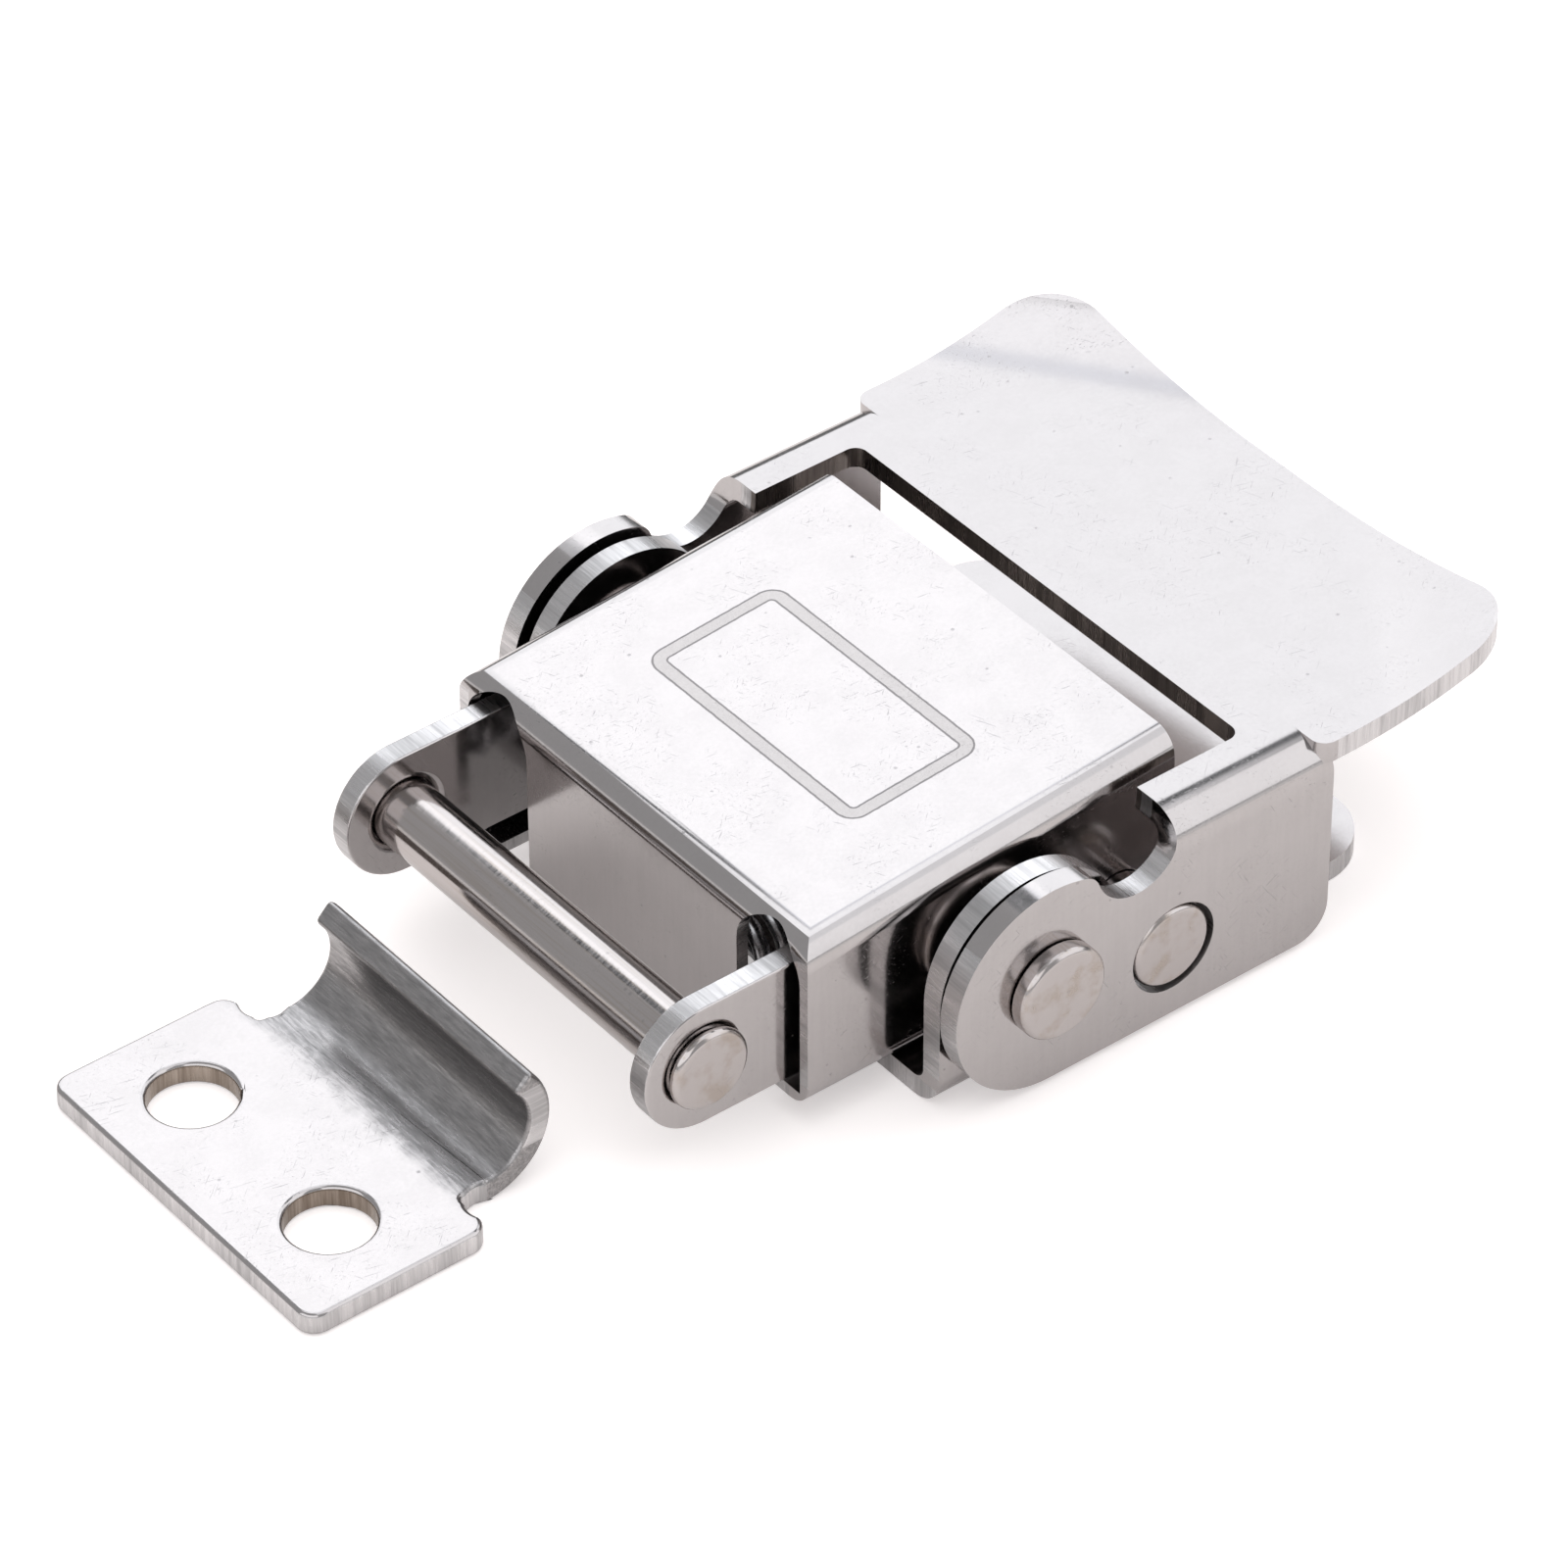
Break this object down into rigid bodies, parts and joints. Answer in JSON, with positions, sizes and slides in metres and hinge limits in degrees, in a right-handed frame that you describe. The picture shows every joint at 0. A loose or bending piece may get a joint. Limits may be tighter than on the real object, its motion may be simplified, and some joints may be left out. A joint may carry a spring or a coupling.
{
  "type": "spring draw latch",
  "caption": "Over-centre toggle latch with a flip-up lever, a spring-loaded draw loop and a separate hooked keeper.",
  "frame": {"origin": "centre of the four base screw holes, on the mounting face", "axes": "+X from the keeper towards the handle, +Y across the latch, +Z out of the mounting face"},
  "size_m": [0.0793, 0.0442, 0.016],
  "materials": {
    "sheet": "smooth stainless sheet, lightly tumbled",
    "pins": "turned stainless",
    "springs": "drawn spring wire"
  },
  "bodies": {
    "base": {"base_plate": "sheet", "pivot_rivet_near": "pins", "pivot_rivet_far": "pins", "keeper": "sheet"},
    "handle": {"lever": "sheet", "toggle_pin": "pins"},
    "housing": {"draw_housing": "sheet", "spring_near": "springs", "spring_far": "springs"},
    "frame": {"draw_frame": "sheet"},
    "bar": {"draw_bar": "pins"}
  },
  "joints": [
    {"name": "lever_hinge", "type": "hinge", "parent": "base", "child": "handle", "pos_m": [-0.009, 0, 0.0072], "axis": [0, -1, 0], "range_deg": [0, 80]},
    {"name": "housing_hinge", "type": "hinge", "parent": "handle", "child": "housing", "pos_m": [-0.00015, 0, 0.0052], "axis": [0, -1, 0], "range_deg": [-68.5, 0]},
    {"name": "draw_slide", "type": "slide", "parent": "housing", "child": "frame", "axis": [-1, 0, 0], "range_m": [0, 0.003], "stiffness_N_per_m": 4000, "springref_m": -0.002, "deforming": ["spring_near", "spring_far"]},
    {"name": "bar_spin", "type": "hinge", "parent": "frame", "child": "bar", "pos_m": [-0.0282, 0, 0.0074], "axis": [0, 1, 0], "continuous": true}
  ],
  "couplings": [
    {"joint": "housing_hinge", "follows": "lever_hinge", "ratio": -0.85}
  ]
}
